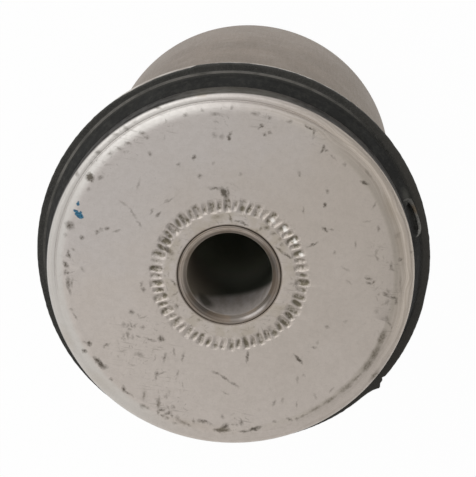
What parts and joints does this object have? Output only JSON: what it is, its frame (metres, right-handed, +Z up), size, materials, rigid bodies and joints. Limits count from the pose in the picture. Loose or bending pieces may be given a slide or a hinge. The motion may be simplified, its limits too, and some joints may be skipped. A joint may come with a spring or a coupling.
{
  "type": "rubber metal bush",
  "caption": "Bonded rubber bush with a thick inner sleeve, a flanged outer sleeve and a dished end plate with a coined grip ring around the bolt bore.",
  "frame": {"origin": "centre of the inner sleeve's rear end, which the bush stands on", "axes": "+Z up the bore from the rear end to the end plate; X and Y are square to it, with the cushion's pocket and the collar's nub on the -X side"},
  "size_m": [0.0768, 0.0768, 0.0907],
  "materials": {
    "turned_steel": "turned, dull zinc",
    "plated_steel": "pressed, dull zinc",
    "sleeve_steel": "drawn, dull",
    "rubber": "moulded, matt"
  },
  "bodies": {
    "root": {"inner_sleeve": "turned_steel", "end_plate": "plated_steel", "outer_sleeve": "sleeve_steel", "rubber_body": "rubber"}
  },
  "joints": []
}
